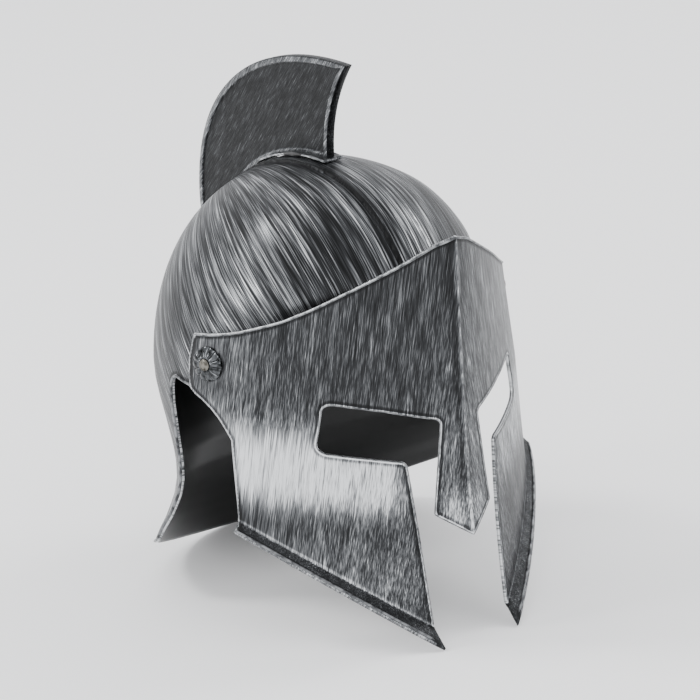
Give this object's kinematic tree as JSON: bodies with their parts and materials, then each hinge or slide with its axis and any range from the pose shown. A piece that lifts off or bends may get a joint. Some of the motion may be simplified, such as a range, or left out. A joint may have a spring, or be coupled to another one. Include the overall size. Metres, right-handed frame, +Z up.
{
  "type": "gladiator costume helmet",
  "caption": "Moulded gladiator costume helmet with a crest fin, a neck guard and a faceplate with eye slots that lifts on temple pivots.",
  "frame": {"origin": "bottom centre of the bounding box, on the surface the helmet stands on", "axes": "+Z up, the face towards -Y, the wearer's left at +X; the helmet stands on its cheek points and the back of its neck rim"},
  "size_m": [0.2, 0.255, 0.2961],
  "materials": {
    "shell_silver": "black plastic dry-brushed with silver outside in long streaks, satin black inside",
    "visor_silver": "black plastic dry-brushed with silver outside in upright streaks, satin black inside",
    "crest_silver": "black plastic dry-brushed with silver in slanted streaks, bright worn rim",
    "rosette_chrome": "plated plastic",
    "pin_brass": "worn"
  },
  "bodies": {
    "skull": {"skull_shell": "shell_silver", "crest_fin": "crest_silver"},
    "visor": {"visor": "visor_silver", "rosette_right": "rosette_chrome", "rosette_left": "rosette_chrome", "pivot_pin_right": "pin_brass", "pivot_pin_left": "pin_brass"}
  },
  "joints": [
    {"name": "visor_lift", "type": "hinge", "parent": "skull", "child": "visor", "pos_m": [0, -0.02282, 0.15095], "axis": [-1, 0, 0], "range_deg": [0, 45]}
  ]
}
